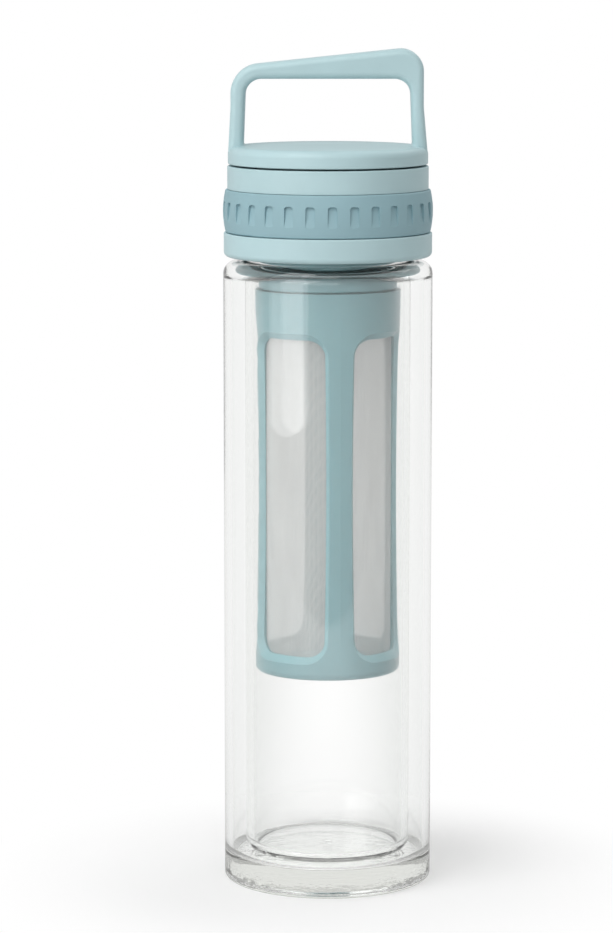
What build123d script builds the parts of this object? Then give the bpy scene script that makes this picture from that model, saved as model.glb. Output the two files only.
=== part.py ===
from build123d import *

import os
from math import asin, pi, sin

# Fruit infuser bottle: a double-walled glass flask, a two-stage screw lid with a carry handle,
# and a windowed infuser basket that hangs from the lid through the flask's neck.
#
# Millimetres, +Z up. The origin is the centre of the foot, on the surface the bottle stands on.
# The handle stands in the XZ plane, taller at +X, and the front of the bottle faces -Y.
# Every turned piece is an outline of (radius, height) points swung round the Z axis.
# Screw threads are left as plain walls with room for the thread between them.

# Flask: an outer glass with a thick foot, and an inner glass fused to it at the neck
flask_radius = 34.0
outer_wall = 2.4
foot_thickness = 8.7
foot_corner = 1.5
foot_inner_corner = 3.0
foot_ring_width = 9.0
push_up_depth = 0.8
shoulder_height = 204.3
shoulder_corner = 4.0
shoulder_inner_corner = 1.6
jacket_gap = 4.7
liner_wall = 2.4
liner_floor = 1.8
liner_corner = 3.4
liner_inner_corner = 2.6
liner_gap = 1.2
pip_radius = 1.6
pip_height = 0.8
rim_round = 0.9

# Silicone washers, all cut from one thickness of sheet
seal_thickness = 1.0
seal_overlap = 0.5
seal_clearance = 0.3

# Room round a disc that is welded into a bore
weld_fit = 0.1

# Room between a male wall and the female wall that screws on it
thread_room = 1.6

# Infuser ring: a tube through the neck, a flange on the rim and a spigot for the basket
ring_clearance = 2.1
ring_shoulder_drop = 8.5
ring_edge_round = 0.4
flange_thickness = 1.2
flange_clearance = 0.4
spigot_step = 1.3
spigot_wall = 1.1
spigot_length = 9.0

# Basket: a waisted frame with bevelled windows, over a sleeve of fine mesh
basket_clearance = 0.9
basket_length = 125.6
basket_wall = 2.7
basket_floor = 2.0
basket_corner = 2.4
basket_joint_gap = 0.3
spigot_clearance = 0.3
waist_depth = 0.9
waist_top_drop = 6.0
waist_foot_rise = 6.0
window_count = 4
window_sill_rise = 7.5
window_head_drop = 15.0
window_corner = 5.2
window_bevel_depth = 1.9
window_bevel_width = 2.1
rib_width = 11.0
rib_turn = 9.8
sleeve_thickness = 0.4
sleeve_clearance = 0.3

# Collar: threaded skirt, groove for the grip band, and the band that meets the cap
collar_lift = 1.5
lower_ring_inset = 0.2
lower_ring_height = 7.8
lower_ring_foot_round = 1.6
groove_depth = 2.4
grip_height = 14.1
band_inset = 1.4
band_height = 7.4
band_wall = 2.6
collar_edge_round = 0.4

# Snap bead inside the collar, which holds the infuser ring by its flange
bead_hold = 0.6
bead_height = 1.2
bead_gap = 0.3

# Grip band: a barrel-shaped silicone band with a row of thumb slots
grip_bulge = 0.8
grip_seam = 0.15
grip_edge_round = 0.6
slot_count = 30
slot_turn = 2.1
slot_width = 3.0
slot_foot_rise = 2.9
slot_height = 7.4
slot_depth = 1.1
slot_run_out = 0.1
slot_corner = 0.9

# Drinking spout: a deck welded into the collar, with a male-threaded tube
deck_drop = 2.5
deck_thickness = 2.2
deck_root_round = 0.8
spout_bore = 17.0
spout_wall = 2.4
spout_proud = 2.3
spout_lip_round = 0.8

# Cap: a domed shell with the handle, and a threaded liner welded into it
lid_gap = 0.6
cap_inset = 0.2
cap_wall = 2.2
cap_crown_thickness = 2.7
cap_dome_drop = 1.0
cap_rim_round = 2.6
cap_edge_round = 0.4
cap_liner_ceiling = 1.2
cap_skirt_wall = 2.2
cap_skirt_gap = 0.7

# Handle: one loop, moulded with the cap shell
handle_depth = 12.0
handle_edge_round = 2.0
handle_left_inset = 1.0
handle_right_inset = 1.6
handle_left_corner = 9.5
handle_right_corner = 7.2
handle_root_flare = 0.8
handle_root_round = 1.0
leg_lean = 0.8
leg_bend_drop = 9.0
leg_bend_round = 30.0
grip_gap_inset = 6.0
grip_gap_height = 20.8
grip_gap_corner = 5.2
bar_left_thickness = 3.9
bar_right_thickness = 10.4

# How far a cutter runs past what it cuts
overrun = 1.0

# Heights up the outside, each piece standing on the one below
collar_bottom = shoulder_height + collar_lift
groove_bottom = collar_bottom + lower_ring_height
groove_top = groove_bottom + grip_height
band_top = groove_top + band_height
cap_bottom = band_top + lid_gap

# Heights inside, from the deck down to the flask's rim and up to the cap's crown
deck_bottom = groove_top - deck_drop
deck_top = deck_bottom + deck_thickness
flange_top = deck_bottom - seal_thickness
flange_bottom = flange_top - flange_thickness
rim_height = flange_bottom - seal_thickness
bead_top = flange_bottom - bead_gap
spout_top = band_top + spout_proud
cap_ceiling_bottom = spout_top + seal_thickness
cap_ceiling_top = cap_ceiling_bottom + cap_liner_ceiling
cap_crown = cap_ceiling_top + cap_crown_thickness
cap_rim = cap_crown - cap_dome_drop
gap_top = cap_crown + grip_gap_height
handle_left_top = gap_top + bar_left_thickness
handle_right_top = gap_top + bar_right_thickness
liner_bottom = foot_thickness + liner_gap
ring_shoulder = shoulder_height - ring_shoulder_drop
spigot_bottom = ring_shoulder - spigot_length
basket_mouth = ring_shoulder - basket_joint_gap
basket_foot = basket_mouth - basket_length
sleeve_top = spigot_bottom - basket_joint_gap
sleeve_bottom = basket_foot + basket_floor + sleeve_clearance

# Radii, each from the piece alongside
flask_bore = flask_radius - outer_wall
push_up_radius = flask_radius - foot_ring_width
liner_radius = flask_bore - jacket_gap
liner_bore = liner_radius - liner_wall
ring_radius = liner_bore - ring_clearance
spigot_radius = ring_radius - spigot_step
ring_bore = spigot_radius - spigot_wall
basket_radius = liner_bore - basket_clearance
basket_bore = basket_radius - basket_wall
basket_mouth_bore = spigot_radius + spigot_clearance
waist_radius = basket_radius - waist_depth
sleeve_radius = basket_bore - sleeve_clearance
collar_bore = liner_radius + thread_room
flange_radius = collar_bore - flange_clearance
bead_radius = flange_radius - bead_hold
lower_ring_radius = flask_radius - lower_ring_inset
groove_radius = flask_radius - groove_depth
grip_end_radius = flask_radius - grip_bulge
band_radius = flask_radius - band_inset
band_bore = band_radius - band_wall
spout_radius = spout_bore + spout_wall
cap_radius = band_radius - cap_inset
cap_bore = cap_radius - cap_wall
cap_skirt_bore = spout_radius + thread_room
cap_skirt_radius = cap_skirt_bore + cap_skirt_wall

# Window width that leaves each rib its width, measured straight across at the waist
rib_half_angle = asin(rib_width / 2 / waist_radius)
window_width = 2 * waist_radius * sin(pi / window_count - rib_half_angle)


def nearest_corner(face, corner):
    """The face's own corner at a point (x, height) of its sketch."""
    return face.vertices().sort_by_distance((*corner, 0))[0]


def rounded(face, rounds):
    """Soften corners of a sketched face. Each entry of rounds is (corner, radius)."""
    for corner, radius in rounds:
        face = fillet(nearest_corner(face, corner), radius)
    return face


def turned(outline, rounds=()):
    """Swing a closed outline of (radius, height) points round the Z axis."""
    face = make_face(Polyline(*outline, close=True))
    return revolve(Plane.XZ * rounded(face, rounds), Axis.Z)


def washer(inner, outer, bottom):
    """A flat silicone sealing washer."""
    top = bottom + seal_thickness
    return turned([(inner, bottom), (outer, bottom), (outer, top), (inner, top)])


def outer_glass():
    """Outer wall and heavy foot. The shoulder runs in to the inner glass, where the two are fused."""
    shoulder_under = shoulder_height - outer_wall
    outline = [
        (0, push_up_depth),
        (push_up_radius - push_up_depth, push_up_depth),
        (push_up_radius, 0),
        (flask_radius, 0),
        (flask_radius, shoulder_height),
        (liner_radius, shoulder_height),
        (liner_radius, shoulder_under),
        (flask_bore, shoulder_under),
        (flask_bore, foot_thickness),
        (0, foot_thickness),
    ]
    return turned(outline, [
        ((flask_radius, 0), foot_corner),
        ((flask_radius, shoulder_height), shoulder_corner),
        ((flask_bore, shoulder_under), shoulder_inner_corner),
        ((flask_bore, foot_thickness), foot_inner_corner),
    ])


def inner_glass():
    """Straight liner that holds the drink, with the neck above and a sealed vent pip below."""
    pip_bottom = liner_bottom - pip_height
    floor_top = liner_bottom + liner_floor
    outline = [
        (0, pip_bottom),
        (pip_radius, pip_bottom),
        (pip_radius, liner_bottom),
        (liner_radius, liner_bottom),
        (liner_radius, rim_height),
        (liner_bore, rim_height),
        (liner_bore, floor_top),
        (0, floor_top),
    ]
    return turned(outline, [
        ((pip_radius, pip_bottom), pip_height / 2),
        ((liner_radius, liner_bottom), liner_corner),
        ((liner_bore, floor_top), liner_inner_corner),
        ((liner_radius, rim_height), rim_round),
        ((liner_bore, rim_height), rim_round),
    ])


def rim_seal():
    """Washer on the infuser ring's tube, pressed between its flange and the glass rim."""
    return washer(ring_radius + seal_clearance, liner_radius, rim_height)


def infuser_ring():
    """Tube through the neck. The lid holds it by its flange, and the basket screws on its spigot."""
    outline = [
        (ring_bore, spigot_bottom),
        (spigot_radius, spigot_bottom),
        (spigot_radius, ring_shoulder),
        (ring_radius, ring_shoulder),
        (ring_radius, flange_bottom),
        (flange_radius, flange_bottom),
        (flange_radius, flange_top),
        (ring_bore, flange_top),
    ]
    return turned(outline, [((ring_radius, ring_shoulder), ring_edge_round)])


def basket_tube():
    """The basket before its windows: mouth, waisted side and closed foot."""
    waist_top = basket_mouth - waist_top_drop
    waist_foot = basket_foot + waist_foot_rise
    waist_middle = (waist_top + waist_foot) / 2
    top_of_waist = (basket_radius, waist_top)
    foot_of_waist = (basket_radius, waist_foot)
    outside = [
        Line((0, basket_foot), (basket_radius, basket_foot)),
        Line((basket_radius, basket_foot), foot_of_waist),
        ThreePointArc(foot_of_waist, (waist_radius, waist_middle), top_of_waist),
        Line(top_of_waist, (basket_radius, basket_mouth)),
    ]
    inside = Polyline(
        (basket_radius, basket_mouth),
        (basket_mouth_bore, basket_mouth),
        (basket_mouth_bore, sleeve_top),
        (basket_bore, sleeve_top),
        (basket_bore, basket_foot + basket_floor),
        (0, basket_foot + basket_floor),
        (0, basket_foot),
    )
    face = make_face([*outside, *inside.edges()])
    foot_corner_round = [((basket_radius, basket_foot), basket_corner)]
    return revolve(Plane.XZ * rounded(face, foot_corner_round), Axis.Z)


def window_cutter(turn):
    """Straight-sided window opening with rounded corners, cut outwards from the middle."""
    sill = basket_foot + window_sill_rise
    head = basket_mouth - window_head_drop
    opening = RectangleRounded(window_width, head - sill, window_corner)
    middle = Vector(0, 0, (sill + head) / 2)
    plane = Plane(origin=middle, x_dir=(0, 1, 0), z_dir=(1, 0, 0))
    return Rot(0, 0, turn) * extrude(plane * opening, basket_radius + overrun)


def basket_frame():
    """Waisted frame: mouth ring, ribs between windows bevelled on the outside, and a closed foot."""
    frame = basket_tube()
    pitch = 360 / window_count
    for number in range(window_count):
        frame -= window_cutter(pitch * (number + 0.5))
    outer_face = frame.faces().filter_by(GeomType.TORUS).sort_by(SortBy.AREA)[-1]
    window_edges = [edge for outline in outer_face.inner_wires() for edge in outline.edges()]
    frame = chamfer(window_edges, window_bevel_width, window_bevel_depth, reference=outer_face)
    return Rot(0, 0, rib_turn - 90) * frame


def mesh_sleeve():
    """Tube of fine mesh that lines the basket behind its windows."""
    sleeve_bore = sleeve_radius - sleeve_thickness
    return turned([
        (sleeve_bore, sleeve_bottom),
        (sleeve_radius, sleeve_bottom),
        (sleeve_radius, sleeve_top),
        (sleeve_bore, sleeve_top),
    ])


def lid_seal():
    """Washer under the lid's deck, pressed on the infuser ring's flange."""
    return washer(liner_bore - seal_overlap, flange_radius, flange_top)


def collar_body():
    """Skirt that screws on the neck, with the lower ring, the band above and the groove between."""
    outline = [
        (collar_bore, collar_bottom),
        (lower_ring_radius, collar_bottom),
        (lower_ring_radius, groove_bottom),
        (groove_radius, groove_bottom),
        (groove_radius, groove_top),
        (band_radius, groove_top),
        (band_radius, band_top),
        (band_bore, band_top),
        (band_bore, deck_bottom),
        (collar_bore, deck_bottom),
        (collar_bore, bead_top),
        (bead_radius, bead_top),
        (bead_radius, bead_top - bead_height / 2),
        (collar_bore, bead_top - bead_height),
    ]
    return turned(outline, [
        ((lower_ring_radius, collar_bottom), lower_ring_foot_round),
        ((lower_ring_radius, groove_bottom), collar_edge_round),
        ((band_radius, band_top), collar_edge_round),
    ])


def slot_cutter():
    """One thumb slot at +X: deep and square at its top, running out at its foot."""
    foot = groove_bottom + slot_foot_rise
    top = foot + slot_height
    outside = flask_radius + overrun
    mouth = RectangleRounded(slot_width, slot_height, slot_corner)
    plane = Plane(origin=(groove_radius, 0, (top + foot) / 2), x_dir=(0, 1, 0), z_dir=(1, 0, 0))
    pocket = extrude(plane * mouth, outside - groove_radius)
    ramp = make_face(Polyline(
        (flask_radius - slot_depth, top),
        (flask_radius - slot_run_out, foot),
        (outside, foot),
        (outside, top),
        close=True,
    ))
    return pocket & extrude(Plane.XZ * ramp, slot_width, both=True)


def grip_band():
    """Silicone band stretched into the collar's groove, with its row of thumb slots."""
    bottom = groove_bottom + grip_seam
    top = groove_top - grip_seam
    middle = (bottom + top) / 2
    face = make_face([
        Line((groove_radius, bottom), (grip_end_radius, bottom)),
        ThreePointArc((grip_end_radius, bottom), (flask_radius, middle), (grip_end_radius, top)),
        Line((grip_end_radius, top), (groove_radius, top)),
        Line((groove_radius, top), (groove_radius, bottom)),
    ])
    ends = [((grip_end_radius, height), grip_edge_round) for height in (bottom, top)]
    band = revolve(Plane.XZ * rounded(face, ends), Axis.Z)
    cutter = slot_cutter()
    pitch = 360 / slot_count
    for number in range(slot_count):
        band -= Rot(0, 0, slot_turn - 90 + pitch * number) * cutter
    return band


def drinking_spout():
    """Deck welded inside the collar, and the tube that the cap screws on and one drinks from."""
    deck_radius = band_bore - weld_fit
    outline = [
        (spout_bore, deck_bottom),
        (deck_radius, deck_bottom),
        (deck_radius, deck_top),
        (spout_radius, deck_top),
        (spout_radius, spout_top),
        (spout_bore, spout_top),
    ]
    return turned(outline, [
        ((spout_radius, deck_top), deck_root_round),
        ((spout_radius, spout_top), spout_lip_round),
        ((spout_bore, spout_top), spout_lip_round),
    ])


def cap_seal():
    """Washer held inside the cap's skirt, pressed on the drinking tube's lip."""
    return washer(spout_bore - seal_overlap, cap_skirt_bore - seal_clearance, spout_top)


def cap_liner():
    """Ceiling disc welded inside the cap shell, with the skirt that screws over the spout."""
    disc_radius = cap_bore - weld_fit
    skirt_bottom = deck_top + cap_skirt_gap
    return turned([
        (0, cap_ceiling_bottom),
        (cap_skirt_bore, cap_ceiling_bottom),
        (cap_skirt_bore, skirt_bottom),
        (cap_skirt_radius, skirt_bottom),
        (cap_skirt_radius, cap_ceiling_bottom),
        (disc_radius, cap_ceiling_bottom),
        (disc_radius, cap_ceiling_top),
        (0, cap_ceiling_top),
    ])


def cap_dome():
    """Shallow domed lid with a soft rim, hollow underneath."""
    dome_radius = (cap_radius**2 + cap_dome_drop**2) / (2 * cap_dome_drop)
    half_way = cap_radius / 2
    half_way_height = cap_crown - dome_radius + (dome_radius**2 - half_way**2) ** 0.5
    face = make_face([
        ThreePointArc((0, cap_crown), (half_way, half_way_height), (cap_radius, cap_rim)),
        Line((cap_radius, cap_rim), (cap_radius, cap_bottom)),
        Line((cap_radius, cap_bottom), (cap_bore, cap_bottom)),
        Line((cap_bore, cap_bottom), (cap_bore, cap_ceiling_top)),
        Line((cap_bore, cap_ceiling_top), (0, cap_ceiling_top)),
        Line((0, cap_ceiling_top), (0, cap_crown)),
    ])
    rounds = [
        ((cap_radius, cap_rim), cap_rim_round),
        ((cap_radius, cap_bottom), cap_edge_round),
    ]
    return revolve(Plane.XZ * rounded(face, rounds), Axis.Z)


def handle_outside():
    """Outer outline of the loop. Its legs slope out to the cap's side and run down into its wall."""
    left_half = cap_radius - handle_left_inset
    right_half = cap_radius - handle_right_inset
    bend = gap_top - leg_bend_drop
    foot = cap_bottom + cap_edge_round
    inside_wall = cap_radius - cap_wall / 2
    outline = make_face(Polyline(
        (-inside_wall, cap_ceiling_top),
        (-inside_wall, foot),
        (-cap_radius, foot),
        (-left_half, bend),
        (-left_half, handle_left_top),
        (right_half, handle_right_top),
        (right_half, bend),
        (cap_radius, foot),
        (inside_wall, foot),
        (inside_wall, cap_ceiling_top),
        close=True,
    ))
    return rounded(outline, [
        ((-left_half, bend), leg_bend_round),
        ((right_half, bend), leg_bend_round),
        ((-left_half, handle_left_top), handle_left_corner),
        ((right_half, handle_right_top), handle_right_corner),
    ])


def finger_gap():
    """Outline of the gap: level along its top, wider at its foot, flared where the legs meet the dome."""
    half_gap = cap_radius - grip_gap_inset
    foot_gap = half_gap + leg_lean
    root_gap = foot_gap - handle_root_flare
    flare_top = cap_rim + handle_root_flare
    gap = make_face(Polyline(
        (-root_gap, cap_ceiling_top),
        (-root_gap, cap_rim),
        (-foot_gap, flare_top),
        (-half_gap, gap_top),
        (half_gap, gap_top),
        (foot_gap, flare_top),
        (root_gap, cap_rim),
        (root_gap, cap_ceiling_top),
        close=True,
    ))
    return rounded(gap, [
        ((-half_gap, gap_top), grip_gap_corner),
        ((half_gap, gap_top), grip_gap_corner),
        ((-foot_gap, flare_top), handle_root_round),
        ((foot_gap, flare_top), handle_root_round),
    ])


def handle_loop():
    """Loop with a level underside and a top that climbs to the right, rounded where it is gripped."""
    loop = extrude(Plane.XZ * (handle_outside() - finger_gap()), handle_depth / 2, both=True)
    sides = loop.faces().sort_by(Axis.Y)
    buried = cap_ceiling_top + cap_edge_round
    side_edges = sides[0].edges() + sides[-1].edges()
    loop = fillet([edge for edge in side_edges if edge.center().Z > buried], handle_edge_round)
    cap_column = turned([
        (0, cap_bottom),
        (cap_radius, cap_bottom),
        (cap_radius, handle_right_top),
        (0, handle_right_top),
    ])
    return loop & cap_column


def cap_shell():
    """Dome and carry handle, one moulding."""
    return cap_dome() + handle_loop()


pieces = [
    outer_glass,
    inner_glass,
    rim_seal,
    infuser_ring,
    basket_frame,
    mesh_sleeve,
    lid_seal,
    collar_body,
    grip_band,
    drinking_spout,
    cap_seal,
    cap_liner,
    cap_shell,
]

os.makedirs("parts", exist_ok=True)
for piece in pieces:
    export_step(piece(), f"parts/{piece.__name__}.step")
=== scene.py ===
import math

import bmesh
import bpy
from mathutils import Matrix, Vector


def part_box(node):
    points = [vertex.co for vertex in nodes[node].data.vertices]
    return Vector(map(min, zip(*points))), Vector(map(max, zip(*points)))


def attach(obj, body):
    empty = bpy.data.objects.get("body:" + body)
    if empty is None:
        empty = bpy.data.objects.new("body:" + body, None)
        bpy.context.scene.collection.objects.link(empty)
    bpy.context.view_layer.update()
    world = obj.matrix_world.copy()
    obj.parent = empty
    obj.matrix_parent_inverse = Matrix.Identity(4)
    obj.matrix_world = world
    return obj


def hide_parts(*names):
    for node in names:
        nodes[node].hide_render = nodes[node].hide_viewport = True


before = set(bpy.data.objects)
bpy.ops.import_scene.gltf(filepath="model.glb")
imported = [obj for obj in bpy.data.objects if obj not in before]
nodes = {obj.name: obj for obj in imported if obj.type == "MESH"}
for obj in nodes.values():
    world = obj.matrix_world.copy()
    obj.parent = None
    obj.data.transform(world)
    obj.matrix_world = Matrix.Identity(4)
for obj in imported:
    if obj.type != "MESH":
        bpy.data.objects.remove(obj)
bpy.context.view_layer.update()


# Flask. The outer and inner tubes are drawn from clear borosilicate glass and melted together at
# the shoulder, with sealed air between them. The heavy foot is pressed, with a push-up underneath
# and slight unevenness towards its sides; the inner tube has a melted pip and a neck thread.

MM = 0.001
flask_steps = 192

foot_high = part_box("outer_glass")[1]
liner_low, liner_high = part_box("inner_glass")
flask_radius = foot_high.x
shoulder_height = foot_high.z
liner_radius = liner_high.x
rim_height = liner_high.z
glass_wall = 2.4 * MM
flask_bore = flask_radius - glass_wall
liner_bore = liner_radius - glass_wall
foot_thickness = 8.7 * MM
pip_height = 0.8 * MM
pip_radius = 1.6 * MM
liner_bottom = liner_low.z + pip_height
liner_floor = 1.8 * MM
push_up_radius = 25.0 * MM
push_up_depth = 0.8 * MM

push_up_corner = 0.7 * MM
foot_corner = 1.5 * MM
shoulder_corner = 4.0 * MM
neck_corner = 1.0 * MM
rim_corner = 0.9 * MM
floor_corner = 2.6 * MM
pocket_foot_corner = 3.0 * MM
pocket_top_corner = 3.4 * MM
pocket_neck_corner = 1.2 * MM
liner_end_corner = 3.4 * MM
pip_corner = 0.4 * MM

neck_thread_low = shoulder_height + 3.4 * MM
neck_thread_pitch = 4.0 * MM
neck_thread_turns = 2.25
neck_thread_fade = 0.15
neck_thread_rings = 52
thread_rise = 0.7 * MM
thread_width = 2.0 * MM

glass_index = 1.47
ripples_per_metre = (28, 28, 6)
ripple_depth = 0.4 * MM
pressed_waves_per_metre = 220
pressed_depth = 0.6 * MM
middle_unevenness = 0.2
# Painted shade: the glass's colour darkens towards this where it is seen edge-on.
edge_painted_shade = (0.9, 0.912, 0.905, 1)
clear_shadow = (0.985, 0.987, 0.983, 1)
edge_shadow = (0.2, 0.2, 0.2, 1)
edge_shadow_power = 5
depth_tint = (0.5, 0.52, 0.44, 1)
depth_tint_strength = 8.0

same_ring = 1e-5
same_point = 1e-6


def ring_edges(mesh, radius, height):
    """The edges of one turned ring, found by its radius and height."""
    return [
        edge
        for edge in mesh.edges
        if all(
            abs(math.hypot(vert.co.x, vert.co.y) - radius) < same_ring
            and abs(vert.co.z - height) < same_ring
            for vert in edge.verts
        )
    ]


def turn_outline(mesh, outline, steps):
    """Spin an open outline of (radius, height) points round the Z axis into a turned surface."""
    verts = [mesh.verts.new((radius, 0, height)) for radius, height in outline]
    edges = [mesh.edges.new(pair) for pair in zip(verts, verts[1:])]
    bmesh.ops.spin(
        mesh, geom=verts + edges, cent=(0, 0, 0), axis=(0, 0, 1),
        angle=math.tau, steps=steps, use_merge=True,
    )
    bmesh.ops.remove_doubles(mesh, verts=mesh.verts, dist=same_point)


def round_ring(mesh, radius, height, size, segments):
    """Round one turned corner with a bevel."""
    bmesh.ops.bevel(
        mesh, geom=ring_edges(mesh, radius, height), offset=size, offset_type="OFFSET",
        segments=segments, profile=0.5, affect="EDGES", material=-1, clamp_overlap=True,
    )


def raise_neck_thread(mesh):
    """Push the neck's wall out along a helix, fading to nothing at both ends of the thread."""
    for vert in mesh.verts:
        radius = math.hypot(vert.co.x, vert.co.y)
        if abs(radius - liner_radius) > same_ring:
            continue
        turn = math.atan2(vert.co.y, vert.co.x) / math.tau % 1
        up = (vert.co.z - neck_thread_low) / neck_thread_pitch - turn
        coil = min(max(round(up), 0), math.floor(neck_thread_turns - turn))
        away = abs(up - coil) * neck_thread_pitch
        if away >= thread_width / 2:
            continue
        wound = coil + turn
        fade = min(1, wound / neck_thread_fade, (neck_thread_turns - wound) / neck_thread_fade)
        rise = thread_rise * max(fade, 0) * math.cos(math.pi * away / thread_width) ** 2
        vert.co.xy *= (radius + rise) / radius


def glass_skin():
    """Every glass surface that meets the room or the drink, as one closed outline."""
    mesh = bmesh.new()
    floor_top = liner_bottom + liner_floor
    thread_high = neck_thread_low + (neck_thread_turns + 1) * neck_thread_pitch
    ring_step = (thread_high - neck_thread_low) / neck_thread_rings
    neck = [
        (liner_radius, neck_thread_low - thread_width / 2 + ring_step * ring)
        for ring in range(neck_thread_rings)
    ]
    turn_outline(mesh, [
        (0, push_up_depth),
        (push_up_radius - push_up_depth, push_up_depth),
        (push_up_radius, 0),
        (flask_radius, 0),
        (flask_radius, shoulder_height),
        (liner_radius, shoulder_height),
        *neck,
        (liner_radius, rim_height),
        (liner_bore, rim_height),
        (liner_bore, floor_top),
        (0, floor_top),
    ], flask_steps)
    round_ring(mesh, push_up_radius - push_up_depth, push_up_depth, push_up_corner, 4)
    round_ring(mesh, push_up_radius, 0, push_up_corner, 4)
    round_ring(mesh, flask_radius, 0, foot_corner, 10)
    round_ring(mesh, flask_radius, shoulder_height, shoulder_corner, 12)
    round_ring(mesh, liner_radius, shoulder_height, neck_corner, 6)
    round_ring(mesh, liner_radius, rim_height, rim_corner, 6)
    round_ring(mesh, liner_bore, rim_height, rim_corner, 6)
    round_ring(mesh, liner_bore, floor_top, floor_corner, 10)
    raise_neck_thread(mesh)
    bmesh.ops.recalc_face_normals(mesh, faces=mesh.faces)
    return mesh


def air_pocket():
    """The sealed air between the two walls, whose faces look into the air."""
    mesh = bmesh.new()
    shoulder_under = shoulder_height - glass_wall
    turn_outline(mesh, [
        (0, foot_thickness),
        (flask_bore, foot_thickness),
        (flask_bore, shoulder_under),
        (liner_radius, shoulder_under),
        (liner_radius, liner_bottom),
        (pip_radius, liner_bottom),
        (pip_radius, liner_bottom - pip_height),
        (0, liner_bottom - pip_height),
    ], flask_steps)
    round_ring(mesh, flask_bore, foot_thickness, pocket_foot_corner, 10)
    round_ring(mesh, flask_bore, shoulder_under, pocket_top_corner, 8)
    round_ring(mesh, liner_radius, shoulder_under, pocket_neck_corner, 6)
    round_ring(mesh, liner_radius, liner_bottom, liner_end_corner, 12)
    round_ring(mesh, pip_radius, liner_bottom - pip_height, pip_corner, 5)
    bmesh.ops.recalc_face_normals(mesh, faces=mesh.faces)
    bmesh.ops.reverse_faces(mesh, faces=mesh.faces)
    return mesh


def finish_piece(mesh, name, sharp=50):
    """Turn a bmesh into an object with smooth faces and clean corner shading."""
    data = bpy.data.meshes.new(name)
    mesh.to_mesh(data)
    mesh.free()
    data.shade_smooth()
    data.set_sharp_from_angle(angle=math.radians(sharp))
    piece = bpy.data.objects.new(name, data)
    bpy.context.scene.collection.objects.link(piece)
    shading = piece.modifiers.new("Even shading", "WEIGHTED_NORMAL")
    shading.weight = 100
    shading.keep_sharp = True
    return piece


def nodes_of(holder):
    """The node tree of a material or world, and two functions: one adds a node, one joins sockets."""
    holder.use_nodes = True
    tree = holder.node_tree

    def add(kind, inputs=(), **settings):
        node = tree.nodes.new(kind)
        for key, value in settings.items():
            setattr(node, key, value)
        for key, value in dict(inputs).items():
            node.inputs[key].default_value = value
        return node

    return tree, add, tree.links.new


def clear_glass():
    """Clear glass, faintly green-grey through its depth, with drawn ripples and light shadows.

    The foot is pressed, so its surface is less even, most of all away from the middle.
    """
    material = bpy.data.materials.new("clear_glass")
    tree, add, join = nodes_of(material)
    shader = tree.nodes["Principled BSDF"]
    shader.inputs["Roughness"].default_value = 0.0
    shader.inputs["IOR"].default_value = glass_index
    shader.inputs["Transmission Weight"].default_value = 1.0
    coords = add("ShaderNodeTexCoord")
    stretch = add("ShaderNodeMapping", {"Scale": ripples_per_metre})
    ripple = add("ShaderNodeTexNoise", {"Scale": 1.0, "Detail": 1.0})
    bump = add("ShaderNodeBump", {"Strength": 0.25, "Distance": ripple_depth})
    join(coords.outputs["Object"], stretch.inputs["Vector"])
    join(stretch.outputs["Vector"], ripple.inputs["Vector"])
    join(ripple.outputs["Fac"], bump.inputs["Height"])
    place = add("ShaderNodeSeparateXYZ")
    in_foot = add("ShaderNodeMapRange", {
        "From Min": foot_thickness, "From Max": 0.4 * foot_thickness,
    })
    pressed = add("ShaderNodeTexNoise", {"Scale": pressed_waves_per_metre, "Detail": 2})
    from_middle = add("ShaderNodeMath", operation="ABSOLUTE")
    near_sides = add("ShaderNodeMapRange", {
        "From Min": 0.3 * flask_radius, "From Max": 0.65 * flask_radius, "To Min": middle_unevenness,
    })
    uneven = add("ShaderNodeMath", operation="MULTIPLY")
    foot_bump = add("ShaderNodeBump", {"Distance": pressed_depth})
    join(coords.outputs["Object"], place.inputs["Vector"])
    join(coords.outputs["Object"], pressed.inputs["Vector"])
    join(place.outputs["Z"], in_foot.inputs["Value"])
    join(place.outputs["X"], from_middle.inputs[0])
    join(from_middle.outputs["Value"], near_sides.inputs["Value"])
    join(in_foot.outputs["Result"], uneven.inputs[0])
    join(near_sides.outputs["Result"], uneven.inputs[1])
    join(uneven.outputs["Value"], foot_bump.inputs["Strength"])
    join(pressed.outputs["Fac"], foot_bump.inputs["Height"])
    join(bump.outputs["Normal"], foot_bump.inputs["Normal"])
    join(foot_bump.outputs["Normal"], shader.inputs["Normal"])
    facing = add("ShaderNodeLayerWeight", {"Blend": 0.5})
    edge_on = add("ShaderNodeMath", operation="POWER")
    edge_on.inputs[1].default_value = edge_shadow_power
    # Painted shade: the base colour darkens from white as the glass turns edge-on to the view.
    through = add("ShaderNodeMix", data_type="RGBA")
    through.inputs["A"].default_value = (1, 1, 1, 1)
    through.inputs["B"].default_value = edge_painted_shade
    dim = add("ShaderNodeMix", data_type="RGBA")
    dim.inputs["A"].default_value = clear_shadow
    dim.inputs["B"].default_value = edge_shadow
    clear = add("ShaderNodeBsdfTransparent")
    path = add("ShaderNodeLightPath")
    mix = add("ShaderNodeMixShader")
    tint = add("ShaderNodeVolumeAbsorption", {"Color": depth_tint, "Density": depth_tint_strength})
    join(facing.outputs["Facing"], through.inputs["Factor"])
    join(through.outputs["Result"], shader.inputs["Base Color"])
    join(facing.outputs["Facing"], edge_on.inputs[0])
    join(edge_on.outputs["Value"], dim.inputs["Factor"])
    join(dim.outputs["Result"], clear.inputs["Color"])
    join(path.outputs["Is Shadow Ray"], mix.inputs["Fac"])
    join(shader.outputs["BSDF"], mix.inputs[1])
    join(clear.outputs["BSDF"], mix.inputs[2])
    join(mix.outputs["Shader"], tree.nodes["Material Output"].inputs["Surface"])
    join(tint.outputs["Volume"], tree.nodes["Material Output"].inputs["Volume"])
    return material


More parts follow.
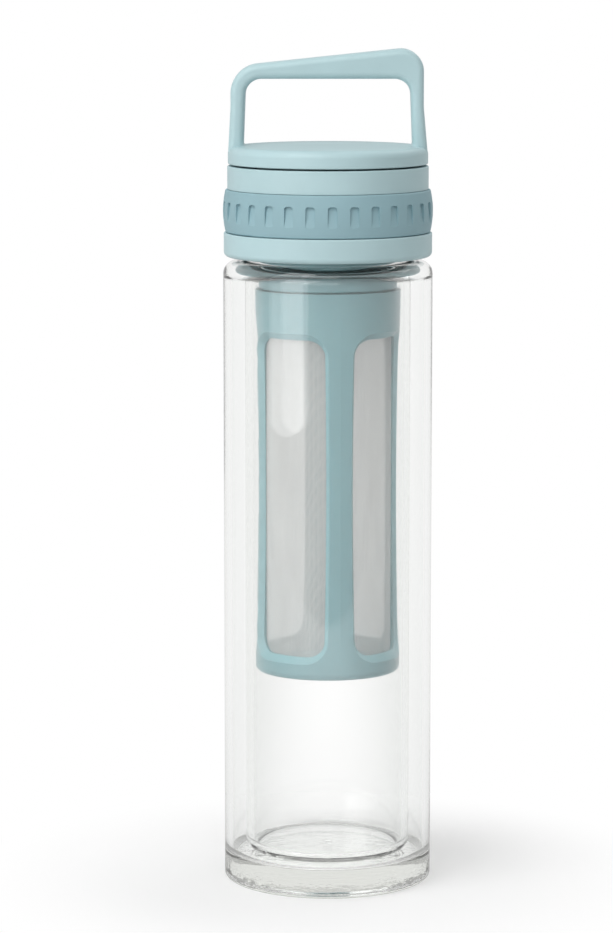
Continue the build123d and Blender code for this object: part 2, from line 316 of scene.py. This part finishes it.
flask_mesh = glass_skin()
pocket_data = bpy.data.meshes.new("air_pocket")
pocket_mesh = air_pocket()
pocket_mesh.to_mesh(pocket_data)
pocket_mesh.free()
flask_mesh.from_mesh(pocket_data)
bpy.data.meshes.remove(pocket_data)
flask_glass = finish_piece(flask_mesh, "flask_glass")
flask_glass.data.materials.append(clear_glass())
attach(flask_glass, "flask")
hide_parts("outer_glass", "inner_glass")


# Infuser ring. A tube moulded in smooth blue-green plastic, with a flange that lies on the glass
# rim over a washer of milky silicone. A fine ridge winds round its spigot and grips the basket.

ring_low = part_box("infuser_ring")[0]
spigot_radius = 21.1 * MM
color_spread = 0.03
gloss_spread = 0.06


def moulded(name, color, roughness, grain, grain_height, flow=(1, 1, 1)):
    """A moulded surface: slightly uneven colour, and a fine grain that also breaks up the gloss."""
    material = bpy.data.materials.new(name)
    tree, add, join = nodes_of(material)
    shader = tree.nodes["Principled BSDF"]
    coords = add("ShaderNodeTexCoord")
    run = add("ShaderNodeMapping", {"Scale": flow})
    cloud = add("ShaderNodeTexNoise", {"Scale": 55, "Detail": 3})
    shade = add("ShaderNodeValToRGB")
    shade.color_ramp.elements[0].position = 0.3
    shade.color_ramp.elements[0].color = (*[c * (1 - color_spread) for c in color], 1)
    shade.color_ramp.elements[1].position = 0.7
    shade.color_ramp.elements[1].color = (*[c * (1 + color_spread) for c in color], 1)
    fine = add("ShaderNodeTexNoise", {"Scale": grain, "Detail": 2})
    gloss = add("ShaderNodeMapRange", {
        "To Min": roughness - gloss_spread, "To Max": roughness + gloss_spread,
    })
    bump = add("ShaderNodeBump", {"Strength": 0.5, "Distance": grain_height})
    join(coords.outputs["Object"], run.inputs["Vector"])
    join(run.outputs["Vector"], cloud.inputs["Vector"])
    join(coords.outputs["Object"], fine.inputs["Vector"])
    join(cloud.outputs["Fac"], shade.inputs["Fac"])
    join(shade.outputs["Color"], shader.inputs["Base Color"])
    join(fine.outputs["Fac"], gloss.inputs["Value"])
    join(gloss.outputs["Result"], shader.inputs["Roughness"])
    join(fine.outputs["Fac"], bump.inputs["Height"])
    join(bump.outputs["Normal"], shader.inputs["Normal"])
    return material


def dress(name, material):
    """Give a CAD node its material."""
    for slot in nodes[name].material_slots:
        slot.material = material


def wind_thread(name, wall, rise, low, pitch, turns, width):
    """A thread's ridge on a wall. A rise below zero points inwards; both ends run out to nothing."""
    steps_per_turn = 72
    sunk_share = 0.3
    thin_end = 0.1
    steps = round(turns * steps_per_turn)
    buried = wall - sunk_share * rise
    crest = wall + rise
    profile = [
        (buried, low - width / 2),
        (crest, low - width / 5),
        (crest, low + width / 5),
        (buried, low + width / 2),
    ]
    mesh = bmesh.new()
    verts = [mesh.verts.new((radius, 0, height)) for radius, height in profile]
    edges = [mesh.edges.new(pair) for pair in zip(verts, verts[1:] + verts[:1])]
    bmesh.ops.spin(
        mesh, geom=verts + edges, cent=(0, 0, 0), axis=(0, 0, 1), angle=math.tau * turns,
        dvec=(0, 0, pitch * turns / steps), steps=steps, use_merge=False,
    )
    mesh.verts.ensure_lookup_table()
    run_out = steps_per_turn / 6
    for index, vert in enumerate(mesh.verts):
        step = index // len(profile)
        fade = min(1, step / run_out, (steps - step) / run_out)
        radius = math.hypot(vert.co.x, vert.co.y)
        share = thin_end + (1 - thin_end) * fade
        vert.co.xy *= (buried + (radius - buried) * share) / radius
    open_ends = [edge for edge in mesh.edges if edge.is_boundary]
    bmesh.ops.holes_fill(mesh, edges=open_ends, sides=len(profile))
    bmesh.ops.recalc_face_normals(mesh, faces=mesh.faces)
    return finish_piece(mesh, name, sharp=60)


basket_plastic = moulded(
    "basket_plastic", (0.245, 0.442, 0.48), roughness=0.34, grain=3000, grain_height=0.02 * MM,
    flow=(1, 1, 0.3),
)
clear_silicone = moulded(
    "clear_silicone", (0.74, 0.77, 0.76), roughness=0.45, grain=1800, grain_height=0.02 * MM,
)
dress("infuser_ring", basket_plastic)
dress("rim_seal", clear_silicone)

spigot_thread = wind_thread(
    "spigot_thread", spigot_radius, rise=0.22 * MM, low=ring_low.z + 2.2 * MM, pitch=2.4 * MM,
    turns=1.75, width=1.0 * MM,
)
spigot_thread.data.materials.append(basket_plastic)
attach(spigot_thread, "infuser_top")


# Basket. One moulding in the ring's plastic: a waisted frame with four tall windows, bevelled on
# the outside, and a closed foot. The bevels carry painted light: their colour is made paler.

bevel_slope = 0.7
bevel_slope_slack = 0.2
# How much paler the bevels' painted light makes their colour.
bevel_painted_light = 1.22


def paint_light_on_bevels(material):
    """Painted light: paler plastic where a face slopes like the bevels, between outwards and
    sideways.
    """
    tree, add, join = nodes_of(material)
    shader = tree.nodes["Principled BSDF"]
    plain = shader.inputs["Base Color"].links[0].from_socket
    coords = add("ShaderNodeTexCoord")
    level = add("ShaderNodeVectorMath", {1: (1, 1, 0)}, operation="MULTIPLY")
    outward = add("ShaderNodeVectorMath", operation="NORMALIZE")
    slope = add("ShaderNodeVectorMath", operation="DOT_PRODUCT")
    bevel = add("ShaderNodeMath", {1: bevel_slope, 2: bevel_slope_slack}, operation="COMPARE")
    paler = add("ShaderNodeMix", data_type="RGBA", blend_type="MULTIPLY")
    paler.inputs["B"].default_value = (bevel_painted_light, bevel_painted_light, bevel_painted_light, 1)
    join(coords.outputs["Object"], level.inputs[0])
    join(level.outputs["Vector"], outward.inputs[0])
    join(outward.outputs["Vector"], slope.inputs[0])
    join(coords.outputs["Normal"], slope.inputs[1])
    join(slope.outputs["Value"], bevel.inputs[0])
    join(bevel.outputs["Value"], paler.inputs["Factor"])
    join(plain, paler.inputs["A"])
    join(paler.outputs["Result"], shader.inputs["Base Color"])
    return material


# The frame's copy of the plastic, with painted light on its bevels.
frame_plastic_painted_bevels = paint_light_on_bevels(basket_plastic.copy())
frame_plastic_painted_bevels.name = "frame_plastic_painted_bevels"
dress("basket_frame", frame_plastic_painted_bevels)


# Mesh sleeve. A tube of fine pale nylon cloth, moulded in behind the basket's windows. The cloth
# is a plain weave of clear threads, so it lets much of the light through. Its colour streaks
# between painted shade and painted light, as of soft folds; the tube itself is smooth.

sleeve_low, sleeve_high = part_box("mesh_sleeve")
sleeve_steps = 128
weave_pitch = 0.18 * MM
thread_share = 0.42
thread_edge = 0.2
thread_height = 0.1 * MM
fold_shade_per_metre = (160, 26, 1)
# Painted shade and painted light: the cloth's colour streaks between these two, as soft folds would
# be lit.
fold_painted_shade = (0.92, 0.92, 0.915, 1)
fold_painted_light = (1, 1, 0.99, 1)
light_through = 0.38


def nylon_mesh():
    """Fine plain weave: two sets of clear threads, small open holes, and painted shade and light of
    soft folds.
    """
    material = bpy.data.materials.new("nylon_mesh")
    tree, add, join = nodes_of(material)
    shader = tree.nodes["Principled BSDF"]
    shader.inputs["Roughness"].default_value = 0.5
    place = add("ShaderNodeUVMap", uv_map="cloth")
    folds = add("ShaderNodeMapping", {"Scale": fold_shade_per_metre})
    # Painted fold shade: stretched noise darkens and lightens the cloth's colour.
    fold_shade_noise = add("ShaderNodeTexNoise", {"Scale": 1.0, "Detail": 2.0})
    fold_shade_range = add("ShaderNodeMapRange", {"From Min": 0.4, "From Max": 0.6})
    cloth_color_and_fold_shade = add("ShaderNodeMix", data_type="RGBA")
    cloth_color_and_fold_shade.inputs["A"].default_value = fold_painted_shade
    cloth_color_and_fold_shade.inputs["B"].default_value = fold_painted_light
    join(place.outputs["UV"], folds.inputs["Vector"])
    join(folds.outputs["Vector"], fold_shade_noise.inputs["Vector"])
    join(fold_shade_noise.outputs["Fac"], fold_shade_range.inputs["Value"])
    join(fold_shade_range.outputs["Result"], cloth_color_and_fold_shade.inputs["Factor"])
    join(cloth_color_and_fold_shade.outputs["Result"], shader.inputs["Base Color"])
    count = add("ShaderNodeVectorMath", operation="SCALE")
    count.inputs["Scale"].default_value = 1 / weave_pitch
    split = add("ShaderNodeSeparateXYZ")
    join(place.outputs["UV"], count.inputs[0])
    join(count.outputs["Vector"], split.inputs["Vector"])

    threads = []
    for way in ("X", "Y"):
        across = add("ShaderNodeMath", operation="PINGPONG")
        across.inputs[1].default_value = 0.5
        solid = add("ShaderNodeMapRange", {
            "From Min": thread_share / 2 + thread_edge,
            "From Max": thread_share / 2 - thread_edge,
        })
        join(split.outputs[way], across.inputs[0])
        join(across.outputs["Value"], solid.inputs["Value"])
        threads.append(solid.outputs["Result"])
    cloth_share = add("ShaderNodeMath", operation="MAXIMUM")
    join(threads[0], cloth_share.inputs[0])
    join(threads[1], cloth_share.inputs[1])
    bump = add("ShaderNodeBump", {"Strength": 0.4, "Distance": thread_height})
    join(cloth_share.outputs["Value"], bump.inputs["Height"])
    join(bump.outputs["Normal"], shader.inputs["Normal"])

    glow = add("ShaderNodeBsdfTranslucent")
    lit = add("ShaderNodeMixShader", {"Fac": light_through})
    join(cloth_color_and_fold_shade.outputs["Result"], glow.inputs["Color"])
    join(shader.outputs["BSDF"], lit.inputs[1])
    join(glow.outputs["BSDF"], lit.inputs[2])
    see = add("ShaderNodeBsdfTransparent")
    weave = add("ShaderNodeMixShader")
    join(cloth_share.outputs["Value"], weave.inputs["Fac"])
    join(see.outputs["BSDF"], weave.inputs[1])
    join(lit.outputs["Shader"], weave.inputs[2])
    join(weave.outputs["Shader"], tree.nodes["Material Output"].inputs["Surface"])
    return material


def lay_cloth_map(mesh):
    """A UV map in metres: along the cloth round the tube, and up it."""
    cloth = mesh.loops.layers.uv.new("cloth")
    for face in mesh.faces:
        turns = [math.atan2(corner.vert.co.y, corner.vert.co.x) for corner in face.loops]
        for corner, turn in zip(face.loops, turns):
            if max(turns) - min(turns) > math.pi and turn < 0:
                turn += math.tau
            corner[cloth].uv = (turn * sleeve_high.x, corner.vert.co.z)


sleeve_mesh = bmesh.new()
turn_outline(sleeve_mesh, [
    (sleeve_high.x, sleeve_low.z),
    (sleeve_high.x, sleeve_high.z),
], sleeve_steps)
bmesh.ops.recalc_face_normals(sleeve_mesh, faces=sleeve_mesh.faces)
lay_cloth_map(sleeve_mesh)
mesh_cloth = finish_piece(sleeve_mesh, "mesh_cloth")
mesh_cloth.data.materials.append(nylon_mesh())
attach(mesh_cloth, "mesh")
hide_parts("mesh_sleeve")


# Collar and drinking spout. Two mouldings in pale blue-green plastic with a fine eroded grain,
# welded together at the spout's deck. The collar screws on the glass neck, and a washer of milky
# silicone under the deck presses the infuser ring down.

collar_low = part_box("collar_body")[0]
spout_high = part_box("drinking_spout")[1]
collar_bore = 28.5 * MM
spout_radius = 19.4 * MM
spout_thread_pitch = 3.2 * MM
spout_thread_width = 1.7 * MM

lid_plastic = moulded(
    "lid_plastic", (0.445, 0.612, 0.64), roughness=0.42, grain=2600, grain_height=0.04 * MM,
)
dress("collar_body", lid_plastic)
dress("drinking_spout", lid_plastic)
dress("lid_seal", clear_silicone)

collar_thread = wind_thread(
    "collar_thread", collar_bore, rise=-thread_rise, low=collar_low.z + 2.6 * MM,
    pitch=neck_thread_pitch, turns=2.0, width=thread_width,
)
spout_thread = wind_thread(
    "spout_thread", spout_radius, rise=thread_rise, low=spout_high.z - 7.4 * MM,
    pitch=spout_thread_pitch, turns=1.75, width=spout_thread_width,
)
for thread in (collar_thread, spout_thread):
    thread.data.materials.append(lid_plastic)
    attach(thread, "lid")


# Grip band. A barrel-shaped band of soft grey-blue silicone, stretched into the collar's groove,
# with a row of thumb slots pressed into it.

grip_silicone = moulded(
    "grip_silicone", (0.277, 0.437, 0.483), roughness=0.6, grain=2200, grain_height=0.05 * MM,
)
dress("grip_band", grip_silicone)


# Cap. A domed shell and its carry handle in one moulding, with a threaded liner welded inside and
# a washer of milky silicone that presses on the spout's lip.

cap_liner_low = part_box("cap_liner")[0]
cap_skirt_bore = 21.0 * MM

dress("cap_shell", lid_plastic)
dress("cap_liner", lid_plastic)
dress("cap_seal", clear_silicone)

cap_thread = wind_thread(
    "cap_thread", cap_skirt_bore, rise=-thread_rise, low=cap_liner_low.z + 1.3 * MM,
    pitch=spout_thread_pitch, turns=1.75, width=spout_thread_width,
)
cap_thread.data.materials.append(lid_plastic)
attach(cap_thread, "cap")


# Studio: a plain white paper floor that runs back out of sight, four soft lamps, white air that
# gloss mirrors a little darker, and the camera.

floor_half_width = 30
shadow_from = 0.036
white_from = 0.12
floor_lift = 0.18
foot_light = 0.13
paper_edge = -0.49
paper_edge_width = 0.03
room_level = 0.12
paper_level = 2.0
paper_level_near = 0.45
paper_level_behind = 0.75
lamp_patch = (0, -0.42, 0)
lamp_patch_core = 0.1
lamp_patch_reach = 0.4

floor_data = bpy.data.meshes.new("floor")
floor_mesh = bmesh.new()
bmesh.ops.create_grid(floor_mesh, x_segments=1, y_segments=1, size=floor_half_width)
floor_mesh.to_mesh(floor_data)
floor_mesh.free()
floor = bpy.data.objects.new("floor", floor_data)
bpy.context.scene.collection.objects.link(floor)


def larger(add, join, first, second):
    """The larger of two sockets' numbers."""
    node = add("ShaderNodeMath", operation="MAXIMUM")
    join(first, node.inputs[0])
    join(second, node.inputs[1])
    return node.outputs["Value"]


def floor_white():
    """White paper: soft shadow round the foot, light gathered under it, plain white further out.

    Gloss mirrors the paper brightest where the lamps fall on it in front of the bottle, darker
    beside and behind it, and the dim room past its front edge.
    """
    material = bpy.data.materials.new("floor_white")
    tree, add, join = nodes_of(material)
    shader = tree.nodes["Principled BSDF"]
    shader.inputs["Base Color"].default_value = (0.8, 0.8, 0.8, 1)
    shader.inputs["Roughness"].default_value = 0.9
    shader.inputs["Specular IOR Level"].default_value = 0.0
    shader.inputs["Emission Color"].default_value = (1, 1, 1, 1)
    coords = add("ShaderNodeTexCoord")
    reach = add("ShaderNodeVectorMath", operation="LENGTH")
    far = add("ShaderNodeMapRange", {
        "From Min": shadow_from, "From Max": white_from,
    }, interpolation_type="SMOOTHSTEP")
    way = add("ShaderNodeSeparateXYZ")
    from_patch = add("ShaderNodeVectorMath", {1: lamp_patch}, operation="DISTANCE")
    behind = add("ShaderNodeMapRange", {
        "From Min": 0.0, "From Max": 0.25,
        "To Min": paper_level_near, "To Max": paper_level_behind,
    })
    paper_gloss = add("ShaderNodeMapRange", {
        "From Min": lamp_patch_reach, "From Max": lamp_patch_core, "To Max": paper_level,
    })
    past_edge = add("ShaderNodeMapRange", {
        "From Min": paper_edge, "From Max": paper_edge - paper_edge_width, "To Max": room_level,
    })
    path = add("ShaderNodeLightPath")
    seen = larger(add, join, path.outputs["Is Camera Ray"], path.outputs["Is Transmission Ray"])
    mirrored = add("ShaderNodeMath", operation="SUBTRACT", use_clamp=True)
    mirror_light = add("ShaderNodeEmission")
    gloss = add("ShaderNodeMixShader")
    gathered = add("ShaderNodeMapRange", {
        "From Min": 0.7 * flask_radius, "From Max": flask_radius,
        "To Min": floor_lift + foot_light, "To Max": floor_lift,
    }, interpolation_type="SMOOTHSTEP")
    lift = add("ShaderNodeMath", operation="MULTIPLY")
    share = add("ShaderNodeMath", operation="MULTIPLY")
    white = add("ShaderNodeEmission")
    mix = add("ShaderNodeMixShader")
    join(coords.outputs["Object"], reach.inputs[0])
    join(reach.outputs["Value"], far.inputs["Value"])
    join(far.outputs["Result"], share.inputs[0])
    join(seen, share.inputs[1])
    join(reach.outputs["Value"], gathered.inputs["Value"])
    join(seen, lift.inputs[0])
    join(gathered.outputs["Result"], lift.inputs[1])
    join(lift.outputs["Value"], shader.inputs["Emission Strength"])
    join(share.outputs["Value"], mix.inputs["Fac"])
    join(shader.outputs["BSDF"], mix.inputs[1])
    join(white.outputs["Emission"], mix.inputs[2])
    join(coords.outputs["Object"], way.inputs["Vector"])
    join(way.outputs["Y"], past_edge.inputs["Value"])
    join(path.outputs["Is Glossy Ray"], mirrored.inputs[0])
    join(path.outputs["Is Transmission Ray"], mirrored.inputs[1])
    join(coords.outputs["Object"], from_patch.inputs[0])
    join(from_patch.outputs["Value"], paper_gloss.inputs["Value"])
    join(way.outputs["Y"], behind.inputs["Value"])
    join(behind.outputs["Result"], paper_gloss.inputs["To Min"])
    join(paper_gloss.outputs["Result"], past_edge.inputs["To Min"])
    join(past_edge.outputs["Result"], mirror_light.inputs["Strength"])
    join(mirrored.outputs["Value"], gloss.inputs["Fac"])
    join(mix.outputs["Shader"], gloss.inputs[1])
    join(mirror_light.outputs["Emission"], gloss.inputs[2])
    join(gloss.outputs["Shader"], tree.nodes["Material Output"].inputs["Surface"])
    return material


def studio_air(lamp_level, gloss_level):
    """White where it is seen, darker where gloss mirrors it, and plain as a light."""
    world = bpy.data.worlds.new("studio")
    tree, add, join = nodes_of(world)
    background = tree.nodes["Background"]
    background.inputs["Color"].default_value = (1, 1, 1, 1)
    path = add("ShaderNodeLightPath")
    seen = larger(add, join, path.outputs["Is Camera Ray"], path.outputs["Is Transmission Ray"])
    unseen = add("ShaderNodeMapRange", {"To Min": lamp_level, "To Max": gloss_level})
    level = add("ShaderNodeMapRange", {"To Max": 1.0})
    join(path.outputs["Is Glossy Ray"], unseen.inputs["Value"])
    join(unseen.outputs["Result"], level.inputs["To Min"])
    join(seen, level.inputs["Value"])
    join(level.outputs["Result"], background.inputs["Strength"])
    return world


def soft_lamp(name, place, target, width, height, power):
    """A rectangular softbox that faces a point."""
    data = bpy.data.lights.new(name, "AREA")
    data.shape = "RECTANGLE"
    data.size = width
    data.size_y = height
    data.energy = power
    lamp = bpy.data.objects.new(name, data)
    bpy.context.scene.collection.objects.link(lamp)
    lamp.location = place
    aim = Vector(target) - Vector(place)
    lamp.rotation_mode = "QUATERNION"
    lamp.rotation_quaternion = aim.to_track_quat("-Z", "Y")


floor_data.materials.append(floor_white())
bpy.context.scene.world = studio_air(lamp_level=0.42, gloss_level=0.75)
bottle_middle = (0, 0, 0.15)
soft_lamp("side_softbox", (-0.786, -0.726, 0.62), (0, 0, 0.62), width=0.77, height=1.22, power=4.3)
soft_lamp("key_softbox", (-0.72, -0.68, 1.65), bottle_middle, width=0.9, height=0.8, power=8.5)
soft_lamp("front_softbox", (-0.2, -1.15, 1.2), bottle_middle, width=1.0, height=0.8, power=5)
soft_lamp("back_softbox", (0.7, 0.6, 1.3), bottle_middle, width=1.0, height=0.8, power=3.5)

looks_down = 8.19
camera_data = bpy.data.cameras.new("camera")
camera_data.lens = 138.06
camera_data.sensor_width = 36
camera = bpy.data.objects.new("camera", camera_data)
camera.location = (-6.95 * MM, -1159.7 * MM, 303.6 * MM)
camera.rotation_euler = (math.radians(90 - looks_down), 0, 0)

scene = bpy.context.scene
scene.collection.objects.link(camera)
scene.camera = camera
scene.view_settings.view_transform = "Standard"
scene.cycles.max_bounces = 32
scene.cycles.transmission_bounces = 32
scene.cycles.glossy_bounces = 16
scene.cycles.transparent_max_bounces = 32
